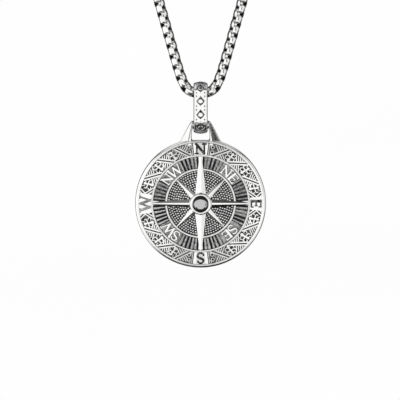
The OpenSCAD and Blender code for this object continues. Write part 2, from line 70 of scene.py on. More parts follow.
# Lug's window at the disc: half width, lower end, and the rim that it cuts flat
WINDOW_HALF = 2.35
WINDOW_END = DISC_R - 0.42
WINDOW_RIM = 0.55

# Bail: middle of its upper arc, how far down the lower arc lies, radii and width.
# Bar of the lug: radius, height above the medallion's middle, half length
BAIL_TOP = (0.0, -96.0, -191.95)
BAIL_REACH = 8.27
BAIL_RI = 1.7
BAIL_RO = 2.9
BAIL_W = 3.75
BAR_R = 1.1
BAR_UP = 21.2
BAR_HALF = 2.1

# Chosen points of the chain's middle line, from its lowest point over the right
# side to the nape
ROUTE = [
    (0, -96, -191.95), (1.3, -96, -191.93), (2.3, -96, -191.78), (3.6, -95.9, -190.9),
    (4.75, -95.8, -189), (5.9, -95.4, -185.8), (7.6, -94.6, -180), (10.8, -92.6, -169),
    (16.8, -88, -148.5), (24.7, -82, -121), (33, -75, -92), (41, -67.5, -64),
    (47.5, -59, -40), (51.5, -48, -22.5), (52, -36, -12.5), (48, -23, -6),
    (39, -11, -2.5), (28, -3, -0.8), (18, 0.8, 0), (10.6, 1.4, 0),
]


# Meshes
def new_object(name, mesh):
    obj = bpy.data.objects.new(name, mesh)
    bpy.context.scene.collection.objects.link(obj)
    return obj


def set_patina_and_painted_shade(mesh, values):
    """How darkened each point of a mesh is by patina and painted shade, from 0 to 1."""
    layer = mesh.attributes.new("patina_and_painted_shade", "FLOAT", "POINT")
    layer.data.foreach_set("value", np.asarray(values, np.float32).ravel())


def add_mesh(name, points, quads, sharp=35, patina_and_painted_shade=None):
    """Object from points in millimetres and faces of four corners."""
    points = np.asarray(points, float).reshape(-1, 3) * MM
    quads = np.asarray(quads, np.int32).reshape(-1, 4)
    mesh = bpy.data.meshes.new(name)
    mesh.vertices.add(len(points))
    mesh.vertices.foreach_set("co", points.ravel())
    mesh.loops.add(quads.size)
    mesh.loops.foreach_set("vertex_index", quads.ravel())
    mesh.polygons.add(len(quads))
    mesh.polygons.foreach_set("loop_start", np.arange(0, quads.size, 4, dtype=np.int32))
    mesh.update(calc_edges=True)
    mesh.validate()
    mesh.polygons.foreach_set("use_smooth", np.ones(len(mesh.polygons), bool))
    if sharp:
        mesh.set_sharp_from_angle(angle=math.radians(sharp))
    if patina_and_painted_shade is not None:
        set_patina_and_painted_shade(mesh, patina_and_painted_shade)
    return new_object(name, mesh)


def grid_quads(rows, columns, flip=False, wrap_rows=False, wrap_columns=False):
    """Faces of a grid of points stored row by row."""
    last_row = rows if wrap_rows else rows - 1
    last_column = columns if wrap_columns else columns - 1
    i, j = np.meshgrid(np.arange(last_row), np.arange(last_column), indexing="ij")
    i1, j1 = (i + 1) % rows, (j + 1) % columns
    corners = [i * columns + j, i1 * columns + j, i1 * columns + j1, i * columns + j1]
    if flip:
        corners.reverse()
    return np.stack([c.ravel() for c in corners], axis=1)


def face_points(u, v, h):
    """Points on the medallion: right, up, and height from its back."""
    return np.stack([DISC[0] + u, DISC[1] + RIM_T / 2 - h, DISC[2] + v], axis=-1)


def full_turn(steps):
    return np.linspace(0, 2 * math.pi, steps, endpoint=False)


def lathe_face(name, profile, steps, window=None, sharp=35):
    """Turned piece of the medallion from points of radius and height."""
    profile = np.asarray(profile, float)
    r, h = profile[:, :1], profile[:, 1:]
    az = full_turn(steps)
    u, v = r * np.sin(az), r * np.cos(az)
    if window:
        half, level = window
        flat = np.where(r > DISC_R - WINDOW_RIM, level - (DISC_R - r), DISC_R)
        v = np.where((np.abs(u) < half) & (v > flat), flat, v)
    quads = grid_quads(len(profile), steps, wrap_columns=True)
    return add_mesh(name, face_points(u, v, np.broadcast_to(h, u.shape)), quads, sharp)


def rounded(points, radius, steps=4):
    """The profile with all corners between its ends rounded."""
    points = [np.array(p, float) for p in points]
    out = [points[0]]
    for before, corner, after in zip(points, points[1:], points[2:]):
        to_a, to_b = before - corner, after - corner
        la, lb = np.linalg.norm(to_a), np.linalg.norm(to_b)
        cut = min(radius, 0.45 * la, 0.45 * lb)
        a, b = corner + to_a / la * cut, corner + to_b / lb * cut
        for k in range(steps + 1):
            t = k / steps
            out.append((1 - t) ** 2 * a + 2 * t * (1 - t) * corner + t * t * b)
    out.append(points[-1])
    return out


# Drawing with distances
def smooth_step(x):
    x = np.clip(x, 0, 1)
    return x * x * (3 - 2 * x)


def to_segment(u, v, a, b):
    """Distance to a segment, and how far along it the nearest point lies."""
    du, dv = b[0] - a[0], b[1] - a[1]
    t = np.clip(((u - a[0]) * du + (v - a[1]) * dv) / max(du * du + dv * dv, 1e-12), 0, 1)
    return np.hypot(u - a[0] - t * du, v - a[1] - t * dv), t


def polar(r, az):
    return np.array([r * math.sin(math.radians(az)), r * math.cos(math.radians(az))])


class Relief:
    """Raised work, from 0 at the ground to 1 at the top, drawn stroke by stroke."""

    def __init__(self, u, v):
        self.u, self.v = u, v
        self.level = np.zeros_like(u)
        self.shade = np.zeros_like(u)

    def add(self, rise):
        self.level = np.maximum(self.level, rise)

    def stroke(self, points, w0, w1=None, top=1.0, crown=0.012, edge=0.035):
        """Nearly flat stroke whose width runs from w0 to w1."""
        w1 = w0 if w1 is None else w1
        n = len(points) - 1
        for k in range(n):
            d, t = to_segment(self.u, self.v, points[k], points[k + 1])
            half = (w0 + (w1 - w0) * (k + t) / n) / 2
            wall = smooth_step((half + 2 * edge - d) / (2 * edge))
            dome = 1 - crown * np.clip(d / half, 0, 1) ** 2
            self.add(top * wall * dome)

    def dome(self, centre, radius, edge=0.04, fall=0.05):
        d = np.hypot(self.u - centre[0], self.v - centre[1])
        wall = smooth_step((radius + 2 * edge - d) / (2 * edge))
        self.add(wall * (1 - fall * np.clip(d / radius, 0, 1) ** 2))

    def pit(self, centre, radius, edge=0.07):
        d = np.hypot(self.u - centre[0], self.v - centre[1])
        inside = smooth_step((radius + edge - d) / (2 * edge))
        self.level = self.level * (1 - inside)
        self.shade = np.maximum(self.shade, inside)


def bezier(points, steps=10):
    """Points on a smooth curve through four control points."""
    p = [np.array(q, float) for q in points]
    t = np.linspace(0, 1, steps + 1)[:, None]
    return ((1 - t) ** 3 * p[0] + 3 * (1 - t) ** 2 * t * p[1] + 3 * (1 - t) * t * t * p[2]
            + t ** 3 * p[3])


def arc(centre, radius, start, stop, steps):
    angles = np.radians(np.linspace(start, stop, steps + 1))
    return [(centre[0] + radius * math.cos(a), centre[1] + radius * math.sin(a)) for a in angles]


def local_frame(az, r):
    """Maps points drawn upright at the middle of a cell to the face."""
    turn = math.radians(az)
    out = np.array([math.sin(turn), math.cos(turn)])
    side = np.array([math.cos(turn), -math.sin(turn)])
    return lambda points: [out * (r + p[1]) + side * p[0] for p in points]


# Letters one unit high round their own middle, as lines that each have a width
THICK, THIN = 0.2, 0.12
LETTERS = {
    "N": [([(-0.36, -0.46), (-0.36, 0.44)], THIN), ([(0.36, -0.4), (0.36, 0.46)], THIN),
          ([(-0.38, 0.42), (0.34, -0.44)], THICK), ([(-0.5, -0.46), (-0.22, -0.46)], THIN * 0.8),
          ([(0.2, 0.46), (0.52, 0.46)], THIN), ([(-0.5, 0.46), (-0.36, 0.46)], THIN * 0.8)],
    "E": [([(-0.24, -0.42), (-0.24, 0.42)], THICK * 1.15), ([(-0.34, 0.45), (0.3, 0.45)], THIN * 0.9),
          ([(-0.34, -0.45), (0.32, -0.45)], THIN * 0.9), ([(-0.24, 0), (0.2, 0)], THIN * 0.9),
          ([(0.31, 0.45), (0.31, 0.28)], THIN * 0.8), ([(0.33, -0.45), (0.33, -0.28)], THIN * 0.8),
          ([(0.2, -0.1), (0.2, 0.1)], THIN * 0.7)],
    "S": [(bezier([(0.27, 0.3), (0.2, 0.56), (-0.28, 0.56), (-0.27, 0.22)]), THIN),
          (bezier([(-0.27, 0.22), (-0.26, 0.02), (0.29, 0.02), (0.29, -0.22)]), THICK * 0.85),
          (bezier([(0.29, -0.22), (0.29, -0.58), (-0.24, -0.56), (-0.29, -0.28)]), THIN)],
    "W": [([(-0.62, 0.46), (-0.31, -0.46)], THICK), ([(-0.31, -0.46), (0, 0.4)], THIN),
          ([(0, 0.4), (0.31, -0.46)], THICK), ([(0.31, -0.46), (0.62, 0.46)], THIN),
          ([(-0.76, 0.46), (-0.48, 0.46)], THIN * 0.8), ([(0.5, 0.46), (0.76, 0.46)], THIN * 0.8)],
}


def put_letter(relief, name, az, r, height, **style):
    """Draws a letter with its top outwards."""
    place = local_frame(az, r)
    for points, width in LETTERS[name]:
        relief.stroke(place([(p[0] * height, p[1] * height) for p in points]), width * height, **style)


# Relief pieces on a polar grid
def polar_grid(r0, r1, az0, az1, pitch):
    rows = math.ceil((r1 - r0) / pitch) + 1
    columns = math.ceil(math.radians(az1 - az0) * (r0 + r1) / 2 / pitch) + 1
    r = np.linspace(r0, r1, rows)[:, None]
    az = np.radians(np.linspace(az0, az1, columns))[None, :]
    return r * np.sin(az), r * np.cos(az), np.broadcast_to(r, (rows, columns))


def with_skirt(field, border=None):
    """The grid with its border points once more, lowered where border is given."""
    field = np.pad(field, 1, mode="edge")
    if border is not None:
        field[[0, -1], :] = border
        field[:, [0, -1]] = border
    return field


def from_middle(u, v, middle):
    """Degrees clockwise from an azimuth on the medallion."""
    return (np.degrees(np.arctan2(u, v)) - middle + 180) % 360 - 180


def relief_piece(name, u, v, h, patina_and_painted_shade, ground, mirror=(1, 1), sharp=None):
    """Piece of the medallion whose skirt reaches a little into the ground."""
    u, v = with_skirt(u) * mirror[0], with_skirt(v) * mirror[1]
    h = with_skirt(h, ground - BITE)
    patina_and_painted_shade = with_skirt(patina_and_painted_shade, 1.0)
    quads = grid_quads(*h.shape, flip=mirror[0] * mirror[1] > 0)
    return add_mesh(name, face_points(u, v, h), quads, sharp, patina_and_painted_shade)


# Shares of a quarter, towards E or towards W: where each ribbon starts at the
# inside and ends at the outside, and the middles of the leaf figures
RIBBONS = {E_HALF: [(0.07, 0.275), (0.341, 0.552), (0.66, 0.842)],
           W_HALF: [(0.061, 0.243), (0.337, 0.515), (0.619, 0.812)]}
FIGURES = {E_HALF: [0.335, 0.607, 0.88], W_HALF: [0.31, 0.575, 0.858]}
RIBBON_BAR_W = 0.4
RIBBON_GAP = 0.72
# Veins beside a ribbon: distance from its end, the share of it that they reach,
# gap to the bar, widths and height
VEIN_INSETS = (2.95, 2.4, 1.85, 1.3)
VEIN_REACH = 0.8
VEIN_GAP = 0.14
VEIN_W = (0.31, 0.27)
VEIN_TOP = 0.97
# Patina of ground and tops, and painted shade: between two azimuths the tops change
# from darker towards N and S, where the ground is painted lighter, to bright
SCROLL_SHADE = 0.86
SCROLL_GROUND_PAINTED_LIGHT = 0.06
SCROLL_PAINTED_TOP_SHADE = 0.47
PAINTED_SHADE_FULL_TO, PAINTED_SHADE_GONE_FROM = 15, 70
# Distance between the points of each relief
SCROLL_GRID, PANEL_GRID, FLUTE_GRID = 0.042, 0.035, 0.055


# Leaf figure, upright round its middle: lines with their widths at both ends
# and their height, round heads, and dark pits
LEAF_LINES = [
    ([(0.02, 0.2), (0.06, 0.9)], 0.3, 0.6, 1.0),
    ([(-0.08, 0.0), (-0.16, -0.85)], 0.34, 0.66, 1.0),
    ([(-0.85, 0.14), (0.85, 0.2)], 0.3, 0.3, 1.0),
    (bezier([(0.8, 0.18), (1.15, 0.12), (1.38, 0.42), (1.16, 0.78)], 6), 0.3, 0.24, 1.0),
    (bezier([(-0.8, 0.12), (-1.15, 0.04), (-1.38, 0.34), (-1.16, 0.7)], 6), 0.3, 0.24, 1.0),
    (arc((0.86, -0.55), 0.4, 60, -150, 8), 0.26, 0.22, 0.97),
    (arc((-0.98, -0.52), 0.38, 120, 330, 8), 0.26, 0.22, 0.97),
    ([(0.62, 0.95), (0.95, 1.5)], 0.26, 0.2, 0.97),
    ([(-0.5, 0.95), (-0.72, 1.5)], 0.26, 0.2, 0.97),
]
LEAF_HEADS = [((0.07, 1.0), 0.37), ((-0.16, -0.95), 0.42)]
LEAF_PITS = [((0.76, -0.5), 0.22), ((-0.9, -0.48), 0.2), ((0.56, 0.58), 0.19), ((-0.5, 0.56), 0.19)]


def leaf_figure(relief, az):
    place = local_frame(az, SCROLL_MID)
    for line, w0, w1, top in LEAF_LINES:
        relief.stroke(place(line), w0, w1, top=top)
    for centre, radius in LEAF_HEADS:
        relief.dome(place([centre])[0], radius)
    for centre, radius in LEAF_PITS:
        relief.pit(place([centre])[0], radius)


def ribbon_with_veins(relief, az_in, az_out):
    """Two slanted bars with veins in the corners beside them."""
    a, b = polar(SCROLL_IN - BITE, az_in), polar(SCROLL_OUT + BITE, az_out)
    along = (b - a) / np.linalg.norm(b - a)
    side = np.array([along[1], -along[0]])
    for s in (-1, 1):
        shift = side * s * RIBBON_GAP / 2
        relief.stroke([a + shift, b + shift], RIBBON_BAR_W)
    start = (RIBBON_GAP + RIBBON_BAR_W) / 2 + VEIN_GAP
    for inset in VEIN_INSETS:
        length = VEIN_REACH * inset - start
        for end, s in ((b - along * inset, -1), (a + along * inset, 1)):
            p = end + side * s * start
            relief.stroke([p, p + side * s * length], *VEIN_W, top=VEIN_TOP)


def folded_ribbon(relief, az_side):
    """Bars folded to a point at the edge of the E or W panel."""
    place = local_frame(az_side, SCROLL_MID)
    for line in ([(-1.95, -1.75), (-0.12, 0.25), (-1.25, 1.75)], [(-1.15, -1.75), (0.4, -0.1)],
                 [(-0.45, 1.75), (0.3, 0.85)]):
        relief.stroke(place(line), 0.32)


def corner_scroll(relief, az):
    """Upright bars and two curls beside the N or S panel."""
    place = local_frame(az, SCROLL_MID)
    relief.stroke(place([(0.38, -1.75), (0.38, 1.75)]), 0.22)
    for s in (1, -1):
        relief.stroke(place([(0.84, 1.75 * s), (0.84, 0.8 * s), (0.96, 0.4 * s)]), 0.26)
        relief.stroke(place(arc((1.32, 0.66 * s), 0.42, 130 * s, -120 * s, 12)), 0.24, 0.2)
        relief.pit(place([(1.36, 0.66 * s)])[0], 0.22)


def scroll_quarter(name, side_half, mirror):
    """Scroll work between the N or S panel and the E or W panel."""
    az_end = 90 - side_half
    u, v, _ = polar_grid(SCROLL_IN, SCROLL_OUT, NS_HALF, az_end, SCROLL_GRID)
    relief = Relief(u, v)
    span = az_end - NS_HALF
    corner_scroll(relief, NS_HALF)
    for share in FIGURES[side_half]:
        leaf_figure(relief, NS_HALF + share * span)
    for share_in, share_out in RIBBONS[side_half]:
        ribbon_with_veins(relief, NS_HALF + share_in * span, NS_HALF + share_out * span)
    folded_ribbon(relief, az_end)
    level = relief.level
    h = SCROLL_FLOOR + level * (RELIEF_TOP - SCROLL_FLOOR)
    az = np.degrees(np.arctan2(u, v))
    # Painted shade towards N and S: darker tops and a lighter ground
    painted_shading = smooth_step((PAINTED_SHADE_GONE_FROM - az) / (PAINTED_SHADE_GONE_FROM - PAINTED_SHADE_FULL_TO))
    ground = np.maximum(SCROLL_SHADE - SCROLL_GROUND_PAINTED_LIGHT * painted_shading, relief.shade)
    patina_and_painted_shade = ground + (SCROLL_PAINTED_TOP_SHADE * painted_shading - ground) * smooth_step(level * 1.2)
    return relief_piece("scroll_" + name, u, v, h, patina_and_painted_shade, SCROLL_FLOOR, mirror, sharp=30)


QUARTERS = [("north_east", E_HALF, (1, 1)), ("south_east", E_HALF, (1, -1)),
            ("south_west", W_HALF, (-1, -1)), ("north_west", W_HALF, (-1, 1))]
# Letter panels: azimuth, half width, letter's height, the painted shade of the
# middle and the patina of the letter. The middle's share of the panel and its soft edge
PANELS = [("N", 0, NS_HALF, 2.8, 0.45, 0.92), ("E", 90, E_HALF, 2.8, 0.1, 0.84),
          ("S", 180, NS_HALF, 2.8, 0.45, 0.95), ("W", 270, W_HALF, 3.0, 0.0, 0.68)]
MIDDLE_SHARE = 0.72
MIDDLE_FADE = 0.8


def letter_panel(letter, az, half, height, painted_shading, ink):
    """Smooth panel with a sunk letter."""
    u, v, _ = polar_grid(SCROLL_IN, SCROLL_OUT, az - half, az + half, PANEL_GRID)
    relief = Relief(u, v)
    put_letter(relief, letter, az, SCROLL_MID, height, crown=0.0, edge=0.03)
    h = RELIEF_TOP - relief.level * LETTER_DEPTH
    turn = np.abs(from_middle(u, v, az))
    # Painted shade in the middle of the panel, strongest on N and S
    painted_shading = painted_shading * smooth_step((half * MIDDLE_SHARE - turn) / MIDDLE_FADE)
    patina_and_painted_shade = np.maximum(ink * relief.level, painted_shading)
    return relief_piece("panel_" + letter, u, v, h, patina_and_painted_shade, SCROLL_FLOOR, sharp=40)


# Azimuth of each quarter's middle, and two small letters with their degrees from it
PAIRS = [(45, (("N", -6.4), ("E", 7))), (135, (("S", -5.4), ("E", 5.4))),
         (225, (("S", -7.6), ("W", 5.6))), (315, (("N", -8.6), ("W", 7.2)))]
SMALL_LETTER_H = 2.65
LETTER_GROUND_SHADE = 0.7
LETTER_TOP_SHADE = 0.2
# Gap in degrees between the last flute and the ground of the small letters
LETTER_MARGIN = 0.5
# Flutes beside each long arm: number, pitch and place of the first in degrees,
# level in the relief, bulge, ripple, and how they sink at their ends
FLUTES = 5
FLUTE_PITCH = 5.1
FIRST_FLUTE = 6.3
FLUTE_LEVEL = (FLUTE_TOP - FIELD_FLOOR) / (SMALL_LETTER_TOP - FIELD_FLOOR)
FLUTE_BULGE = 0.12
RIPPLE_H = 0.012
RIPPLE_TURN = 3.7
END_LEVEL = 0.4
END_SHIFT = 0.02
END_FADE = 0.12
# Gaps between flutes: half width, its growth with depth, wall, depth and patina
GAP_HALF = 0.08
GAP_GROWTH = 0.17
GAP_WALL = 0.05
GAP_DEPTH = 0.9
GAP_SHADE = 1.05
# For each half of a quarter, clockwise from N: the painted shade on its flutes,
# and how deep the gap after each flute is, counted from the long arm
FLUTE_PAINTED_SHADES_AND_GAPS = {
    (45, -1): (0.68, (0.3, 0.8, 1, 0.3, 0.35)), (45, 1): (0.73, (0.95, 0.4, 0.45, 0.4, 0.85)),
    (135, -1): (0.64, (0.5, 0.35, 1, 1, 0.8)), (135, 1): (0.6, (0.45, 1, 0.75, 0.85, 0.3)),
    (225, -1): (0.62, (0.5, 0.85, 1, 0.6, 0.4)), (225, 1): (0.54, (0.95, 0.9, 1, 1, 0.9)),
    (315, -1): (0.7, (0.6, 0.4, 0.5, 0.35, 0.6)), (315, 1): (0.62, (0.55, 0.85, 0.95, 0.9, 0.4)),
}


def flute_side(relief, az, r, side, painted_shade, gaps):
    """Flutes and the gaps round them on one side of a quarter."""
    ends = smooth_step((np.minimum(r - FLUTE_IN, FLUTE_OUT - r) + END_SHIFT) / END_FADE)
    mm_per_degree = math.pi / 180 * r
    half = FLUTE_PITCH / 2 * mm_per_degree

    def distance(k):
        return np.abs(az - side * (45 - FIRST_FLUTE - k * FLUTE_PITCH)) * mm_per_degree

    for k in range(FLUTES):
        across = distance(k)
        bulge = 1 - FLUTE_BULGE * np.clip(across / half, 0, 1) ** 2 + RIPPLE_H * np.cos(az * RIPPLE_TURN)
        face = FLUTE_LEVEL * bulge * (END_LEVEL + (1 - END_LEVEL) * ends)
        relief.add(np.where(across <= half, face, 0))
        # Painted shade on the flute's top
        relief.shade = np.where(across <= half, painted_shade, relief.shade)
    for k, deep in enumerate((1,) + gaps):
        gap_half = GAP_HALF + GAP_GROWTH * deep
        inside = smooth_step((gap_half + GAP_WALL - distance(k - 0.5)) / (2 * GAP_WALL))
        relief.level = relief.level * (1 - GAP_DEPTH * deep * inside)
        relief.shade = np.maximum(relief.shade, inside * (painted_shade + (GAP_SHADE - painted_shade) * deep))


def fluted_quarter(middle, letters):
    """Flutes and two small letters between two long arms."""
    u, v, r = polar_grid(FLUTE_IN, FLUTE_OUT, middle - 45, middle + 45, FLUTE_GRID)
    az = from_middle(u, v, middle)
    relief = Relief(u, v)
    relief.shade += LETTER_TOP_SHADE
    for side in (-1, 1):
        flute_side(relief, az, r, side, *FLUTE_PAINTED_SHADES_AND_GAPS[middle, side])
    for letter, offset in letters:
        put_letter(relief, letter, middle + offset, FLUTE_MID, SMALL_LETTER_H)
    level = relief.level
    h = FIELD_FLOOR + level * (SMALL_LETTER_TOP - FIELD_FLOOR)
    last_edge = 45 - FIRST_FLUTE - (FLUTES - 0.5) * FLUTE_PITCH
    brighter = (LETTER_GROUND_SHADE - LETTER_TOP_SHADE) * smooth_step(level * 2 - 0.6)
    by_letters = last_edge - np.abs(az) > LETTER_MARGIN
    patina_and_painted_shade = np.where(by_letters, LETTER_GROUND_SHADE - brighter, relief.shade)
    return relief_piece("flutes_" + str(middle), u, v, h, patina_and_painted_shade, FIELD_FLOOR, sharp=40)


# Grains of the field: pitch, the share of it between two rings of them, radius,
# height, sink, gap to the inner ring, where they end, and how much they vary
GRAIN_PITCH = 0.69
GRAIN_NEXT = 0.9
GRAIN_R = 0.31
GRAIN_H = 0.2
GRAIN_SINK = 0.02
GRAIN_GAP = 0.4
GRAIN_END = 2.9
GRAIN_SHIFT = 0.03
GRAIN_SIZES = (0.93, 1.05)
# Rings of points on a grain, as shares of its radius, and its sides. It is dark
# at its foot and bright inside a share of its radius
GRAIN_RINGS = [1, 0.86, 0.66, 0.4, 0.0]
GRAIN_SIDES = 10
FOOT_SHADE = 0.9
BRIGHT_SHARE = 0.45


def grain_field():
    """Small round grains in rings between the setting and the inner ring."""
    rng = np.random.default_rng(7)
    share = np.array(GRAIN_RINGS)[:, None]
    turn = full_turn(GRAIN_SIDES)[None, :]
    h = FIELD_FLOOR - GRAIN_SINK + GRAIN_H * (1 - share ** 3.5) + 0 * turn
    shade = FOOT_SHADE * smooth_step((share - BRIGHT_SHARE) / BRIGHT_SHARE) + 0 * turn
    face = grid_quads(len(share), GRAIN_SIDES, wrap_columns=True, flip=True)
    points, quads, patina_and_painted_shade = [], [], []
    r = FIELD_R - GRAIN_GAP
    while r > GRAIN_END:
        count = round(2 * math.pi * r / GRAIN_PITCH)
        start = rng.uniform(0, 2 * math.pi)
        for k in range(count):
            az = start + 2 * math.pi * k / count + rng.uniform(-GRAIN_SHIFT, GRAIN_SHIFT) / r
            at_r = r + rng.uniform(-GRAIN_SHIFT, GRAIN_SHIFT)
            size = GRAIN_R * rng.uniform(*GRAIN_SIZES)
            u = at_r * math.sin(az) + size * share * np.cos(turn)
            v = at_r * math.cos(az) + size * share * np.sin(turn)
            quads.append(face + len(points) * h.size)
            points.append(face_points(u, v, h).reshape(-1, 3))
            patina_and_painted_shade.append(shade.ravel())
        r -= GRAIN_PITCH * GRAIN_NEXT
    return add_mesh("grain", np.concatenate(points), np.concatenate(quads), None,
                    np.concatenate(patina_and_painted_shade))


# Patina of grounds, thin rings' tops and back, and painted shade on the rim's flat top and in lines on
# the window's ledge
GROUND_SHADE = 0.94
RING_SHADE = 0.38
BACK_SHADE = 0.46
RIM_SHADE = 0.46
LEDGE_SHADE = 0.75
# Depth under a top at which its patina starts, and over which it grows
TOP_BAND = 0.1
WALL_BAND = 0.15
DISC_STEPS = 360


def medallion_profile():
    """Section from the middle of the back round the rim to the middle of the field."""
    bevel, axis_r = 0.35, 0.02
    scroll_ground, ground = SCROLL_FLOOR - BITE, FIELD_FLOOR - BITE
    corners = [(axis_r, 0), (DISC_R - bevel, 0), (DISC_R, bevel), (DISC_R, 0.6), (DISC_R, 1.0),
               (DISC_R, RIM_T - 0.52), (DISC_R - 0.1, RIM_T - 0.3), (DISC_R - 0.28, RIM_T - 0.12),
               (DISC_R - 0.5, RIM_T), (SCROLL_OUT + 0.14, RIM_T),
               (SCROLL_OUT, RIM_T - 0.12), (SCROLL_OUT, scroll_ground), (SCROLL_IN, scroll_ground),
               (SCROLL_IN, OUTER_RING_TOP), (FLUTE_OUT, OUTER_RING_TOP), (FLUTE_OUT, ground),
               (FLUTE_IN, ground), (FLUTE_IN, INNER_RING_TOP), (FIELD_R, INNER_RING_TOP),
               (FIELD_R, FIELD_FLOOR), (axis_r, FIELD_FLOOR)]
    return rounded(corners, 0.13)


def turned_shade(r, h):
    """Patina of a point of the section."""
    if h < 0.1 and r < DISC_R - 0.4:
        return BACK_SHADE
    if r > SCROLL_OUT + 0.05 or h < 0.6:
        return 0.0
    deep = 1.0
    for low, high, top in ((FIELD_R, FLUTE_IN, INNER_RING_TOP), (FLUTE_OUT, SCROLL_IN, OUTER_RING_TOP),
                           (SCROLL_OUT, DISC_R, RIM_T)):
        if low - 0.01 <= r <= high + 0.01:
            deep = min(max((top - TOP_BAND - h) / WALL_BAND, 0.0), 1.0)
    return max(RING_SHADE, GROUND_SHADE * deep)


def medallion_body():
    """Rim, thin rings, grounds and back as one turned piece."""
    profile = medallion_profile()
    obj = lathe_face("medallion_body", profile, DISC_STEPS, window=(WINDOW_HALF, WINDOW_END))
    az = full_turn(DISC_STEPS)
    at_window = np.cos(az) > math.cos(math.asin(WINDOW_HALF / DISC_R))
    shade, ledge, rim = np.array([
        (turned_shade(r, h),
         LEDGE_SHADE * (r > DISC_R - 0.3 and (h < 0.55 or h > RIM_T - 0.4)),
         RIM_SHADE * (r > SCROLL_OUT + 0.05 and h > RIM_T - 0.1)) for r, h in profile]).T[:, :, None]
    # Painted shade: dark lines on the window's ledge, and a flat top of the rim darker towards N and S
    # and clean towards E and W
    patina_and_painted_shade = np.maximum(shade, ledge * at_window)
    set_patina_and_painted_shade(obj.data, np.maximum(patina_and_painted_shade, rim * np.abs(np.cos(az))))
    return obj


# Lug: levels above the middle of the medallion, with the half widths of the
# window, of the crease and of the outer edge
LUG_LEVELS = [
    (15.8, 2.35, 3.42, 6.35), (16.3, 2.35, 3.3, 5.8), (16.9, 2.37, 3.18, 5.28),
    (17.8, 2.4, 3.02, 4.82), (18.7, 2.4, 2.85, 4.38), (19.6, 2.28, 2.64, 3.92),
    (20.5, 2.1, 2.42, 3.42), (21.2, 2.0, 2.28, 3.04), (21.6, 1.98, 2.2, 2.8),
    (21.95, 1.97, 2.14, 2.56), (22.17, 1.97, 2.1, 2.38), (22.28, 1.97, 2.06, 2.22),
]
LUG_T = 1.03
LUG_SLOPE = 0.3
LUG_THIN = 0.12
LUG_TIP = 0.1
# Width between window and crease under which the section's steps shrink too
LUG_BORDER = 0.3
# Section of a lug leg from the window outwards: the line that each point lies
# at, its shift, its depth from the front, and its painted shade, which draws dark
# lines along the window, the crease and the outer edge
LUG_SECTION = [
    ("window", 0.0, 0.2, 0.85), ("window", 0.04, 0.07, 0.85), ("window", 0.17, 0.02, 0.7),
    ("window", 0.22, 0.0, 0.1), ("crease", -0.08, 0.0, 0.1), ("crease", -0.02, 0.03, 0.8),
    ("crease", 0.12, 0.12, 0.85), ("crease", 0.24, 0.15, 0.1), ("edge", -0.12, 0.0, 0.1),
    ("edge", -0.02, 0.05, 0.6), ("edge", 0.0, 0.09, 0.6),
]


def lug_ring(level, window, crease, edge):
    """Section of a leg at one level, front and back."""
    above = max(0.0, level - BAR_UP)
    half = min(LUG_T, math.sqrt(max(BAR_R ** 2 - above ** 2, LUG_TIP ** 2)))
    thin = max(half - LUG_SLOPE * (edge - crease), LUG_THIN)
    narrow = min(1.0, (crease - window) / LUG_BORDER)
    front = []
    for place, shift, depth, _ in LUG_SECTION:
        x = {"window": window, "crease": crease, "edge": edge}[place] + shift * narrow
        front.append((x, (thin if place == "edge" else half) - depth * narrow))
    return [(x, -y) for x, y in front] + [(x, y) for x, y in reversed(front)]


def lug_leg(name, side):
    """Slanted leg of the lug beside its window."""
    rings = np.array([[(DISC[0] + side * x, DISC[1] + y, DISC[2] + line[0]) for x, y in lug_ring(*line)]
                      for line in LUG_LEVELS])
    shade = [p[3] for p in LUG_SECTION]
    shade = np.tile(shade + shade[::-1], len(rings))
    columns = rings.shape[1]
    quads = grid_quads(len(rings), columns, flip=side > 0, wrap_columns=True)
    # Each end is closed by a strip of faces between its front and its back
    caps = []
    for first, turned in ((0, side > 0), ((len(rings) - 1) * columns, side < 0)):
        for k in range(columns // 2 - 1):
            strip = [k, k + 1, columns - 2 - k, columns - 1 - k]
            caps.append([first + c for c in (strip[::-1] if turned else strip)])
    return add_mesh(name, rings, np.concatenate([quads, caps]), 30, shade)


def turned_rod(name, centre, radius, half, steps=48, bevel=0.05):
    """Round bar along X with bevelled ends."""
    profile = [(-half, 0.01), (-half, radius - bevel), (-half + bevel, radius), (half - bevel, radius),
               (half, radius - bevel), (half, 0.01)]
    a = full_turn(steps)
    points = [[(centre[0] + x, centre[1] + r * math.cos(t), centre[2] + r * math.sin(t)) for t in a]
              for x, r in profile]
    return add_mesh(name, points, grid_quads(len(profile), steps, wrap_columns=True, flip=True))


# Figures round the bail: number, pitch at the front, how far the front one lies
# above the middle, and the pointed ring's tips, half width, radii and wall
MOTIFS = 9
MOTIF_PITCH = 3.62
MOTIF_UP = 0.3
RING_TIP_UP, RING_TIP_DOWN, RING_HALF = 1.46, 1.2, 1.14
RING_R, BOSS_R = 0.9, 0.58
RING_WALL = 0.04
# Dots between two figures and the faint one in their middle: places across and
# along, squeeze across, radii, depths and wall
DOT_PLACES = [(x, s) for x in (-1.1, 1.1) for s in (-0.5, 0.5)]
DOT_SQUEEZE = 1.15
DOT_R, DOT_DEPTH = 0.2, 0.9
FAINT_R, FAINT_DEPTH = 0.14, 0.35
DOT_WALL = 0.06
# Where the lower end starts to bend on the outside
EARLY_BEND = 6.6
# Outside of the bail: distance of rows, number of columns, fall to the edges and
# more of it at the ends, share and fall of the rounded edges, and engraving
BAIL_GRID = 0.06
BAIL_COLUMNS = 66
BAIL_CROWN, END_CROWN = 0.13, 0.3
EDGE_SHARE = 0.17
EDGE_FALL = 0.34
ENGRAVING = 0.1
INNER_BEVEL = 0.1
# Patina of the engraving, and painted shade on the left and right edges
ENGRAVED_SHADE = 0.85
LEFT_EDGE_SHADE, RIGHT_EDGE_SHADE = 0.82, 0.66


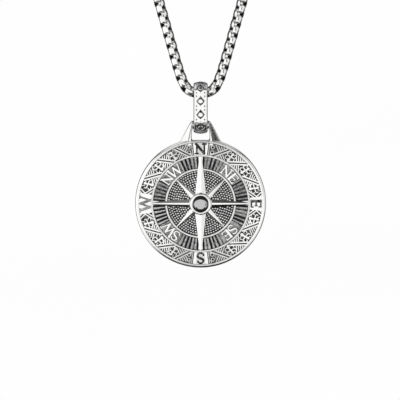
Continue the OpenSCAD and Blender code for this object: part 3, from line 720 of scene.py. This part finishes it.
def pointed_ring(x, s):
    """Depth from 0 to 1 of a pointed ring round a boss."""
    tip = np.where(s > 0, RING_TIP_UP, RING_TIP_DOWN)
    scale = 1 / np.hypot(1 / RING_HALF, 1 / tip)
    diamond = (np.abs(x) / RING_HALF + np.abs(s) / tip - 1) * scale
    d = np.hypot(x, s)
    outer = np.minimum(diamond, d - RING_R)
    inside = smooth_step((RING_WALL - outer) / (2 * RING_WALL))
    boss = smooth_step((BOSS_R + RING_WALL - d) / (2 * RING_WALL))
    return inside * (1 - boss)


def dot(d, radius, depth):
    """Round pit at a distance d from its middle."""
    return depth * smooth_step((radius + DOT_WALL - d) / (2 * DOT_WALL))


def bail_engraving(x, s, length):
    """Depth from 0 to 1 of the figures and dots."""
    front = BAIL_REACH / 2 - MOTIF_UP
    from_front = (s - front + length / 2) % length - length / 2
    half_count, gap = MOTIFS / 2, MOTIF_PITCH / 2
    # Away from the front the figures spread, so that they close the round
    stretch = (length / 2 - half_count * MOTIF_PITCH) / half_count ** 3
    depth = np.zeros((len(s), len(x)))
    for k in range(-(MOTIFS // 2) - 1, MOTIFS // 2):
        centre = -((k + 0.5) * MOTIF_PITCH + stretch * (k + 0.5) ** 3)
        along = ((from_front - centre + length / 2) % length - length / 2)[:, None]
        depth = np.maximum(depth, pointed_ring(x[None, :], -along))
        for dot_x, dot_s in DOT_PLACES:
            d = np.hypot((x[None, :] - dot_x) * DOT_SQUEEZE, along - gap - dot_s)
            depth = np.maximum(depth, dot(d, DOT_R, DOT_DEPTH))
        depth = np.maximum(depth, dot(np.hypot(x[None, :], along - gap), FAINT_R, FAINT_DEPTH))
    return depth


def bail_outline(s):
    """Height of the arc's middle, normal and reach of the outside, going down the front."""
    bend = math.pi * BAIL_RO
    back_end = 2 * BAIL_REACH + bend
    parts = [s < BAIL_REACH, s < BAIL_REACH + bend, s < back_end]
    base_z = np.select(parts, [-s, np.full_like(s, -BAIL_REACH), s - back_end], 0.0)
    angle = np.select(parts, [np.zeros_like(s), (s - BAIL_REACH) / BAIL_RO, np.full_like(s, math.pi)],
                      math.pi + (s - back_end) / BAIL_RO)
    normal_y, normal_z = -np.cos(angle), -np.sin(angle)
    # The outside of the lower end is half an ellipse that starts early
    tall = BAIL_REACH + BAIL_RO - EARLY_BEND
    below = np.maximum(-base_z - EARLY_BEND, 0)
    a = (normal_y / BAIL_RO) ** 2 + (normal_z / tall) ** 2
    b = 2 * below * -normal_z / tall ** 2
    c = (below / tall) ** 2 - 1
    outside = np.where(-base_z > EARLY_BEND, (-b + np.sqrt(b * b - 4 * a * c)) / (2 * a), BAIL_RO)
    return base_z, normal_y, normal_z, outside


def bail_mesh():
    """Long loop with a crowned, engraved outside and plain sides and inside."""
    half_w = BAIL_W / 2
    length = 2 * (BAIL_REACH + math.pi * BAIL_RO)
    count = int(length / BAIL_GRID)
    s = np.arange(count) * length / count
    base_z, normal_y, normal_z, outside = bail_outline(s)
    # The columns lie closer together at the edges and end just short of them
    x = half_w * np.sin(np.linspace(-0.5, 0.5, BAIL_COLUMNS) * math.pi * 0.96)
    depth = bail_engraving(x, s, length)
    corner = np.clip((np.abs(x) / half_w - (1 - EDGE_SHARE)) / EDGE_SHARE, 0, 1)
    crown = (BAIL_CROWN + END_CROWN * normal_z ** 2)[:, None] * (x / half_w) ** 2
    edge_fall = EDGE_FALL * (1 - np.sqrt(1 - corner ** 2))
    rho = outside[:, None] - crown - edge_fall - ENGRAVING * depth
    # Dark patina in the engraving; painted shade on the rounded edges, darker on the left
    edge_shade = np.where(x < 0, LEFT_EDGE_SHADE, RIGHT_EDGE_SHADE)
    dark = np.maximum(ENGRAVED_SHADE * depth, edge_shade * smooth_step(corner * 1.6))
    # Sides and inner face, from the right edge to the left one
    inner, bevelled = BAIL_RI, BAIL_RI + INNER_BEVEL
    middle = (BAIL_RI + BAIL_RO) / 2
    sides = [(half_w, middle), (half_w, bevelled), (half_w - INNER_BEVEL, inner), (0, inner),
             (-half_w + INNER_BEVEL, inner), (-half_w, bevelled), (-half_w, middle)]
    xs = np.concatenate([x, [p[0] for p in sides]])
    rho = np.concatenate([rho, np.tile([p[1] for p in sides], (count, 1))], axis=1)
    dark = np.concatenate([dark, np.zeros((count, len(sides)))], axis=1)
    points = np.stack([
        BAIL_TOP[0] + np.broadcast_to(xs, rho.shape),
        BAIL_TOP[1] + normal_y[:, None] * rho,
        BAIL_TOP[2] + base_z[:, None] + normal_z[:, None] * rho], axis=-1)
    quads = grid_quads(count, len(xs), wrap_rows=True, wrap_columns=True, flip=True)
    return add_mesh("bail_loop", points, quads, 40, dark)


# Setting
def setting_mesh():
    """Bezel whose broad top is nearly flat and whose shoulder is round."""
    profile = [(2.1, 1.9), (2.1, 3.06), (2.16, 3.16), (2.3, 3.25), (2.5, 3.28), (2.66, 3.24), (2.8, 3.12),
               (2.9, 2.95), (2.97, 2.7), (3.0, 2.4), (3.0, 1.9)]
    return lathe_face("bezel", rounded(profile[::-1], 0.06, 2), steps=128, sharp=50)


# Chain
def catmull(points, steps):
    """Smooth line through points."""
    p = np.array(points, float)
    p = np.vstack([2 * p[0] - p[1], p, 2 * p[-1] - p[-2]])
    out = []
    for k in range(1, len(p) - 2):
        a, b, c, d = p[k - 1], p[k], p[k + 1], p[k + 2]
        t = np.arange(steps)[:, None] / steps
        out.append((2 * b + (c - a) * t + (2 * a - 5 * b + 4 * c - d) * t ** 2
                    + (3 * b - a - 3 * c + d) * t ** 3) / 2)
    out.append(p[-2:-1])
    return np.concatenate(out)


# Links: pitch along the chain, length, outer radius of the chain, width of the
# band and its thickness, radius of the corners, and the turn round the chain
LINK_PITCH = 1.465
LINK_L = 2.46
CHAIN_R = 1.43
LINK_B = 1.82
LINK_T = 0.4
LINK_CORNER = 0.56
LINK_TURN = 27
# How far a plate bows in at its ends, on the links that face the front and on
# those between them, and half the flat in its middle
FRONT_BOW = 0.07
SIDE_BOW = 0.17
PLATE_FLAT = 0.05
# Rounding of the band's edges, outside and inside
OUTER_EDGE = 0.07
INNER_EDGE = 0.05
# Columns across the band: its back edge, and the rim that faces the front
BACK_EDGE = slice(0, 3)
FRONT_RIM = slice(6, 8)
# How far ahead and behind a link's direction is read
LINK_REACH = 0.9
# Eyes at the chain's ends: place, radius and wire
EYE_X, EYE_Y = 9.2, 1.4
EYE_R, EYE_WIRE = 1.3, 0.45


def link_template(bow):
    """Points and painted shade of a link, with rows round it and columns across its band.
    The axes are along the chain, up through the plates and along the hole."""
    outline, normals = [], []
    for cx, cy, start in ((1, 1, 0), (-1, 1, 90), (-1, -1, 180), (1, -1, 270)):
        for k in range(3):
            a = math.radians(start + 45 * k)
            outline.append((cx * (LINK_L / 2 - LINK_CORNER) + LINK_CORNER * math.cos(a),
                            cy * (CHAIN_R - LINK_CORNER) + LINK_CORNER * math.sin(a)))
            normals.append((math.cos(a), math.sin(a)))
        if cx == cy:
            outline += [(PLATE_FLAT * cx, cy * CHAIN_R), (-PLATE_FLAT * cx, cy * CHAIN_R)]
            normals += [(0, cy), (0, cy)]
    outline, normals = np.array(outline), np.array(normals)
    half = LINK_B / 2
    inner = -LINK_T
    # For each column: its depth under the outside, its place across and its painted shade, dark on the
    # inside of the band and faint at its edges
    section = [(-OUTER_EDGE, -half, 0.2), (0, -half + OUTER_EDGE, 0), (0, -half / 2, 0), (0, 0, 0),
               (0, half / 2, 0), (0, half - OUTER_EDGE, 0), (-OUTER_EDGE, half, 0.2),
               (inner + INNER_EDGE, half, 0.2), (inner, half - INNER_EDGE, 0.8), (inner, 0, 1),
               (inner, -half + INNER_EDGE, 0.8), (inner + INNER_EDGE, -half, 0.2)]
    columns = []
    for depth, across, _ in section:
        ring = outline + normals * depth
        bowed = 1 - bow * (2 * ring[:, 0] / LINK_L) ** 2
        ring[:, 1] *= math.sqrt(CHAIN_R ** 2 - across ** 2) / CHAIN_R * bowed
        columns.append(np.column_stack([ring, np.full(len(ring), across)]))
    shade = [p[2] for p in section]
    return np.stack(columns, axis=1), np.tile(shade, (len(outline), 1))


def link_places():
    """Middles and directions of the links along the whole loop."""
    right = catmull(ROUTE, 40)
    left = right[:0:-1] * (-1, 1, 1)
    path = np.concatenate([left, right])
    step = np.linalg.norm(np.diff(path, axis=0), axis=1)
    total = np.concatenate([[0], np.cumsum(step)])
    count = int(total[-1] / LINK_PITCH)
    spare = (total[-1] - (count - 1) * LINK_PITCH) / 2
    at = spare + np.arange(count) * LINK_PITCH
    middles, ahead, behind = (
        np.stack([np.interp(lengths, total, path[:, k]) for k in range(3)], axis=1)
        for lengths in (at, at + LINK_REACH, at - LINK_REACH))
    return middles, ahead - behind


def chain_links():
    """Links that lie in turn with their plates and their holes to the front."""
    front, front_shade = link_template(FRONT_BOW)
    side, side_shade = link_template(SIDE_BOW)
    # Painted shade along the back edge of the links between the front ones
    side_shade[:, BACK_EDGE] = [0.9, 0.9, 0.75]
    rim = side[:, FRONT_RIM.start]
    outward, leading = rim[:, 1] < 0, rim[:, 0] > 0
    rows, columns = front_shade.shape
    quads = grid_quads(rows, columns, wrap_rows=True, wrap_columns=True)
    psi = math.radians(LINK_TURN)
    points, faces, patina_and_painted_shade = [], [], []
    for k, (middle, t) in enumerate(zip(*link_places())):
        t = t / np.linalg.norm(t)
        s = np.cross(t, (0, 1, 0))
        s /= np.linalg.norm(s)
        n = np.cross(t, s)
        f = n * math.cos(psi) - s * math.sin(psi)
        g = s * math.cos(psi) + n * math.sin(psi)
        if k % 2:
            # Painted shade on the front rim, apart from its lower stretch on the inward side
            shape, shade, axes = side, side_shade.copy(), np.array([t, g, f])
            shade[outward | (leading == (t[2] > 0)), FRONT_RIM] = 1.0
        else:
            shape, shade, axes = front, front_shade, np.array([t, f, -g])
        points.append(middle + shape.reshape(-1, 3) @ axes)
        faces.append(quads + k * rows * columns)
        patina_and_painted_shade.append(shade.ravel())
    return add_mesh("box_chain", np.concatenate(points), np.concatenate(faces), 60,
                    np.concatenate(patina_and_painted_shade))


def torus_mesh(name, centre, radius, wire, steps=48, sides=16):
    """Ring of round wire whose hole runs along Y."""
    a, b = full_turn(steps)[:, None], full_turn(sides)[None, :]
    ring = radius + wire * np.cos(b)
    x, z, y = ring * np.cos(a), ring * np.sin(a), wire * np.sin(b) + 0 * a
    points = np.stack((x, y, z), axis=-1) + np.array(centre)
    return add_mesh(name, points, grid_quads(steps, sides, wrap_rows=True, wrap_columns=True, flip=True))


# Materials
SILVER_CLOUD = (0.86, 0.86, 0.85, 1)
SILVER_CLEAR = (0.94, 0.94, 0.93, 1)
CAST_CLOUD = (0.84, 0.84, 0.83, 1)
DARK_PATINA_AND_PAINTED_SHADE = (0.03, 0.03, 0.032, 1)
STONE_DEEP = (0.006, 0.006, 0.007, 1)
STONE_HAZE = (0.016, 0.016, 0.018, 1)
# Stone's shiny table: squeeze across, and the radii between which the shine ends
TABLE_SQUEEZE = 0.78
TABLE_R, FACET_R = 1.3 * MM, 1.42 * MM
# Sockets of a colour mix: both colours and the result
MIX_A, MIX_B, MIX_RESULT = 6, 7, 2


class Graph:
    """Node tree whose nodes take values or other nodes' outputs as inputs."""

    def __init__(self, tree):
        self.nodes, self.links = tree.nodes, tree.links

    def put(self, value, socket):
        if isinstance(value, bpy.types.NodeSocket):
            self.links.new(value, socket)
        else:
            socket.default_value = value

    def add(self, kind, inputs=None, output=0, **settings):
        node = self.nodes.new("ShaderNode" + kind)
        for name, value in settings.items():
            setattr(node, name, value)
        for place, value in (inputs or {}).items():
            self.put(value, node.inputs[place])
        return node.outputs[output]

    def maths(self, kind, *values):
        return self.add("Math", dict(enumerate(values)), operation=kind)

    def noise(self, scale, detail, stretch=None):
        where = self.add("TexCoord", output="Object")
        if stretch:
            where = self.add("Mapping", {"Vector": where, "Scale": stretch})
        return self.add("TexNoise", {"Vector": where, "Scale": scale, "Detail": detail}, "Fac")

    def spread(self, value, low, high, start=0.3, stop=0.7, kind="LINEAR"):
        """Maps a range, by default the middle of a noise, to another."""
        ends = {"From Min": start, "From Max": stop, "To Min": low, "To Max": high}
        return self.add("MapRange", {"Value": value, **ends}, "Result", interpolation_type=kind)

    def mix(self, share, a, b):
        return self.add("Mix", {0: share, MIX_A: a, MIX_B: b}, MIX_RESULT, data_type="RGBA")

    def bump(self, height, strength, distance):
        return self.add("Bump", {"Height": height, "Strength": strength, "Distance": distance}, "Normal")


def material(name, metallic, roughness):
    """New material, its node tree and the inputs of its shader."""
    mat = bpy.data.materials.new(name)
    mat.use_nodes = True
    graph = Graph(mat.node_tree)
    shader = graph.nodes["Principled BSDF"].inputs
    shader["Metallic"].default_value = metallic
    shader["Roughness"].default_value = roughness
    return mat, graph, shader


def polished_silver(name="polished_silver", low=0.1, high=0.2):
    """Polished metal with faint clouds and fine wear lines."""
    mat, graph, shader = material(name, metallic=1.0, roughness=0.15)
    cloud = graph.spread(graph.noise(scale=260, detail=4), 0, 1)
    graph.put(graph.mix(cloud, SILVER_CLOUD, SILVER_CLEAR), shader["Base Color"])
    wear = graph.noise(scale=900, detail=5, stretch=(1, 1, 0.2))
    graph.put(graph.spread(wear, low, high), shader["Roughness"])
    graph.put(graph.bump(wear, strength=0.12, distance=0.02 * MM), shader["Normal"])
    return mat


def silver_with_patina_and_painted_shade():
    """Cast metal, bright on top and dark where the attribute of patina and painted shade is high."""
    mat, graph, shader = material("silver_with_patina_and_painted_shade", metallic=1.0, roughness=0.2)
    layer = graph.add("Attribute", output="Fac", attribute_name="patina_and_painted_shade")
    cloud = graph.noise(scale=1400, detail=4)
    uneven = graph.maths("MULTIPLY", layer, graph.spread(cloud, 0.8, 1.15))
    share = graph.spread(uneven, 0, 1, start=0.25, stop=0.9)
    soft_cloud = graph.spread(graph.noise(scale=300, detail=3), 0, 1)
    bright = graph.mix(soft_cloud, CAST_CLOUD, SILVER_CLEAR)
    graph.put(graph.mix(share, bright, DARK_PATINA_AND_PAINTED_SHADE), shader["Base Color"])
    graph.put(graph.spread(share, 0.16, 0.5, start=0, stop=1), shader["Roughness"])
    graph.put(graph.bump(cloud, strength=0.15, distance=0.03 * MM), shader["Normal"])
    return mat


def black_stone():
    """Black gem whose table shines more than the facets round it."""
    mat, graph, shader = material("black_gem", metallic=0.0, roughness=0.04)
    for socket, value in (("IOR", 2.6), ("Specular IOR Level", 1.0), ("Coat Weight", 1.0),
                          ("Coat IOR", 2.2), ("Coat Roughness", 0.02)):
        shader[socket].default_value = value
    haze = graph.spread(graph.noise(scale=500, detail=3), 0, 1)
    graph.put(graph.mix(haze, STONE_DEEP, STONE_HAZE), shader["Base Color"])
    centred = graph.add("Mapping", {
        "Vector": graph.add("TexCoord", output="Object"), "Scale": (TABLE_SQUEEZE, 0, 1),
        "Location": (-DISC[0] * MM * TABLE_SQUEEZE, 0, -DISC[2] * MM)})
    radius = graph.add("VectorMath", {0: centred}, "Value", operation="LENGTH")
    for socket, facet in (("Specular IOR Level", 0.04), ("Coat Weight", 0.0)):
        graph.put(graph.spread(radius, 1.0, facet, TABLE_R, FACET_R), shader[socket])
    return mat


def dress(obj, mat):
    obj.data.materials.clear()
    obj.data.materials.append(mat)


# Stage, lights and camera
BACKDROP = 0.985
# Floor: height and half size in metres
FLOOR_Z, FLOOR_HALF = -0.36, 12
# Camera: width of the view and distance in metres, height in degrees, width of
# the sensor in millimetres, and the view's shift in pixels of the photo
VIEW_W = 0.10704
CAMERA_DISTANCE = 1.2
CAMERA_ELEVATION = math.radians(10)
SENSOR_W = 36
PHOTO_W = 400
SHIFT_UP, SHIFT_LEFT = 3.0, 0.6


def matte_floor():
    mat, graph, shader = material("pale_floor", metallic=0.0, roughness=0.9)
    shader["Base Color"].default_value = (0, 0, 0, 1)
    shader["Specular IOR Level"].default_value = 0.0
    shader["Emission Color"].default_value = (1, 1, 1, 1)
    faint = graph.spread(graph.noise(scale=3, detail=2), BACKDROP, BACKDROP + 0.01)
    graph.put(faint, shader["Emission Strength"])
    return mat


def add_floor(level, size):
    mesh = bpy.data.meshes.new("floor")
    corners = [(-size, -size, level), (size, -size, level), (size, size, level), (-size, size, level)]
    mesh.from_pydata(corners, [], [(0, 1, 2, 3)])
    floor = new_object("floor", mesh)
    dress(floor, matte_floor())
    floor.visible_glossy = False


# Soft boxes and dark cards round the pendant, later ones over earlier ones:
# from and to azimuth, from and to elevation, softness of the edge, brightness.
# Azimuth 0 is to the front, 90 to the right
BOXES = [
    (-200, 200, -100, -62, 10, 0.01),
    (-170, -25, -100, -68, 6, 0.12),
    (-170, -3, 44, 76, 6, 0.2),
    (-200, 200, 78, 100, 5, 0.22),
    (-150, -28, 46, 72, 6, 0.9),
    (28, 150, 46, 72, 6, 0.6),
    (-99, -46, -52, 38, 6, 1.2),
    (42, 99, -52, 38, 6, 0.9),
    (82, 200, -62, -16, 5, 0.04),
    (-46, 46, -28, 34, 5, 1.12),
    (25, 42, -11, 28, 3, 0.02),
]
# Behind: from azimuth to either side, from and to elevation, softness, brightness
BACK_BOXES = [(138, -42, 0, 8, 0.34), (165, 4, 20, 3, 0.9)]
AMBIENT = 0.07


def step(graph, angle, at, soft):
    """0 below an angle and 1 above it."""
    return graph.spread(angle, 0, 1, at - soft, at + soft, "SMOOTHSTEP")


def band(graph, angle, low, high, soft):
    """1 between two angles and 0 outside them."""
    rest = graph.maths("SUBTRACT", 1, step(graph, angle, high, soft))
    return graph.maths("MULTIPLY", step(graph, angle, low, soft), rest)


def add_world():
    world = bpy.data.worlds.new("studio")
    bpy.context.scene.world = world
    world.use_nodes = True
    sky = Graph(world.node_tree)
    split = sky.nodes.new("ShaderNodeSeparateXYZ")
    sky.put(sky.add("TexCoord", output="Generated"), split.inputs[0])
    x, y, z = split.outputs
    to_degrees = 180 / math.pi
    az = sky.maths("MULTIPLY", sky.maths("ARCTAN2", x, sky.maths("MULTIPLY", y, -1)), to_degrees)
    el = sky.maths("MULTIPLY", sky.maths("ARCSINE", z), to_degrees)
    layers = [(band(sky, az, az0, az1, soft), el0, el1, soft, glow)
              for az0, az1, el0, el1, soft, glow in BOXES]
    layers += [(step(sky, sky.maths("ABSOLUTE", az), az0, soft), el0, el1, soft, glow)
               for az0, el0, el1, soft, glow in BACK_BOXES]
    level = AMBIENT
    for wide, el0, el1, soft, glow in layers:
        box = sky.maths("MULTIPLY", wide, band(sky, el, el0, el1, soft))
        level = sky.spread(box, level, glow, start=0, stop=1)
    # The camera sees an even, pale backdrop
    camera_ray = sky.add("LightPath", output="Is Camera Ray")
    background = sky.nodes["Background"].inputs
    background["Color"].default_value = (1, 1, 1, 1)
    sky.put(sky.spread(camera_ray, level, BACKDROP, start=0, stop=1), background["Strength"])


def add_camera():
    data = bpy.data.cameras.new("camera")
    camera = new_object("camera", data)
    data.sensor_fit = "HORIZONTAL"
    data.sensor_width = SENSOR_W
    data.lens = SENSOR_W * CAMERA_DISTANCE / VIEW_W
    data.clip_start, data.clip_end = 0.05, 60
    up = Vector((0, math.sin(CAMERA_ELEVATION), math.cos(CAMERA_ELEVATION)))
    back = Vector((0, -math.cos(CAMERA_ELEVATION), math.sin(CAMERA_ELEVATION)))
    pixel = VIEW_W / PHOTO_W
    target = Vector(DISC) * MM + up * (SHIFT_UP * pixel) - Vector((SHIFT_LEFT * pixel, 0, 0))
    camera.location = target + back * CAMERA_DISTANCE
    camera.rotation_euler = back.to_track_quat("Z", "Y").to_euler()
    bpy.context.scene.camera = camera


def build():
    silver = polished_silver()
    patina_and_shade_silver = silver_with_patina_and_painted_shade()
    bright = polished_silver("bright_silver", low=0.06, high=0.14)

    medallion = [medallion_body(), grain_field()]
    medallion += [scroll_quarter(*quarter) for quarter in QUARTERS]
    medallion += [letter_panel(*panel) for panel in PANELS]
    medallion += [fluted_quarter(*pair) for pair in PAIRS]
    lug = [lug_leg("lug_left", -1), lug_leg("lug_right", 1),
           turned_rod("lug_bar", (DISC[0], DISC[1], DISC[2] + BAR_UP), BAR_R, BAR_HALF)]
    for piece in medallion + lug:
        dress(piece, patina_and_shade_silver)
        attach(piece, "pendant")
    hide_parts("medallion")

    bezel = setting_mesh()
    dress(bezel, bright)
    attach(bezel, "pendant")
    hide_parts("stone_setting")

    bail = bail_mesh()
    dress(bail, patina_and_shade_silver)
    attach(bail, "bail")
    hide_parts("bail")

    links = chain_links()
    eyes = [torus_mesh("chain_eye_" + side, (s * EYE_X, EYE_Y, 0), EYE_R, EYE_WIRE)
            for side, s in (("left", -1), ("right", 1))]
    for piece in [links] + eyes:
        dress(piece, patina_and_shade_silver if piece == links else silver)
        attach(piece, "chain")
    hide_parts("chain")

    dress(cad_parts["compass_rose"], bright)
    dress(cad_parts["stone"], black_stone())
    for node in ("clasp", "clasp_ring", "hook_ring"):
        dress(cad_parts[node], silver)


def studio():
    add_floor(FLOOR_Z, FLOOR_HALF)
    add_world()
    add_camera()
    bpy.context.scene.view_settings.view_transform = "Standard"


build()
studio()
